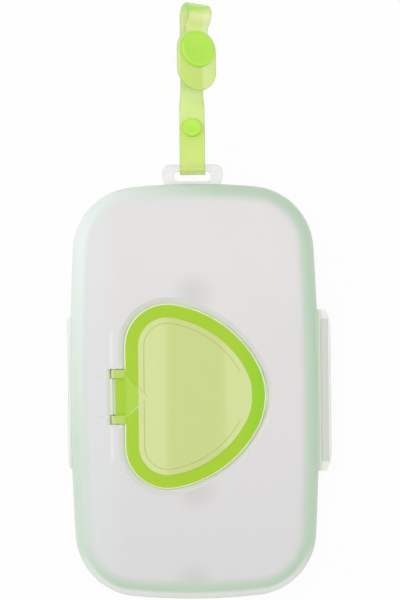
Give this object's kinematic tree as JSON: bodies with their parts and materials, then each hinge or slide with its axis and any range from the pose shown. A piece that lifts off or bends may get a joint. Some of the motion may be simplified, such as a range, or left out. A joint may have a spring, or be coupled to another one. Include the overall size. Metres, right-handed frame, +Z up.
{
  "type": "baby wipe dispenser",
  "caption": "Slim rounded travel case for baby wipes with a hinged cover, a side latch, a flip-open dispensing lid and a snap strap on a hanging tab.",
  "frame": {"origin": "middle of the flat rear face", "axes": "+Z up out of the lid, +Y along the case towards the strap, +X across it towards the latch"},
  "size_m": [0.1259, 0.2873, 0.0345],
  "materials": {
    "frosted_polypropylene": "frosted, faintly mint at its edges",
    "latch_polypropylene": "frosted",
    "clear_tab": "clear grey, satin",
    "lime_lid": "translucent gloss",
    "lime_seal": "satin",
    "lime_strap": "translucent satin",
    "lime_snap": "satin gloss"
  },
  "bodies": {
    "rear_case": {"rear_shell": "frosted_polypropylene", "hang_tab": "clear_tab", "case_hinge_web": "frosted_polypropylene", "latch_hinge_web": "latch_polypropylene"},
    "front_case": {"front_shell": "frosted_polypropylene", "rim_seal": "lime_seal"},
    "lid_assembly": {"dispensing_lid": "lime_lid", "lid_seal": "lime_seal"},
    "latch_arm": {"side_latch": "latch_polypropylene"},
    "strap_front": {"strap_body": "lime_strap", "strap_bar_loop": "lime_strap", "strap_top_fold": "lime_strap", "small_snap_cap": "lime_snap", "small_snap_socket": "lime_snap", "large_snap_stud": "lime_snap", "large_snap_back_cap": "lime_snap"},
    "strap_pad": {"strap_flap": "lime_strap", "large_snap_cap": "lime_snap", "large_snap_socket": "lime_snap"},
    "strap_end": {"strap_tail": "lime_strap", "small_snap_stud": "lime_snap", "small_snap_back_cap": "lime_snap"}
  },
  "joints": [
    {"name": "case_hinge", "type": "hinge", "parent": "rear_case", "child": "front_case", "pos_m": [-0.0607, 0, 0.0194], "axis": [0, -1, 0], "range_deg": [0, 180], "deforming": ["case_hinge_web"]},
    {"name": "lid_hinge", "type": "hinge", "parent": "front_case", "child": "lid_assembly", "pos_m": [-0.0382, -0.002, 0.0324], "axis": [0, -1, 0], "range_deg": [0, 105]},
    {"name": "latch_hinge", "type": "hinge", "parent": "rear_case", "child": "latch_arm", "pos_m": [0.0632, 0, 0.01065], "axis": [0, 1, 0], "range_deg": [0, 110], "deforming": ["latch_hinge_web"]},
    {"name": "strap_swing", "type": "hinge", "parent": "rear_case", "child": "strap_front", "pos_m": [0, 0.1071, 0.0176], "axis": [1, 0, 0], "range_deg": [-70, 80]},
    {"name": "strap_flap_open", "type": "hinge", "parent": "strap_front", "child": "strap_pad", "pos_m": [0.00225, 0.18202, 0.00813], "axis": [-0.8829, 0.1014, 0.4584], "range_deg": [0, 175], "deforming": ["strap_top_fold"]},
    {"name": "strap_tail_open", "type": "hinge", "parent": "strap_front", "child": "strap_end", "pos_m": [0, 0.1071, 0.0176], "axis": [-1, 0, 0], "range_deg": [0, 75], "deforming": ["strap_bar_loop"]}
  ]
}
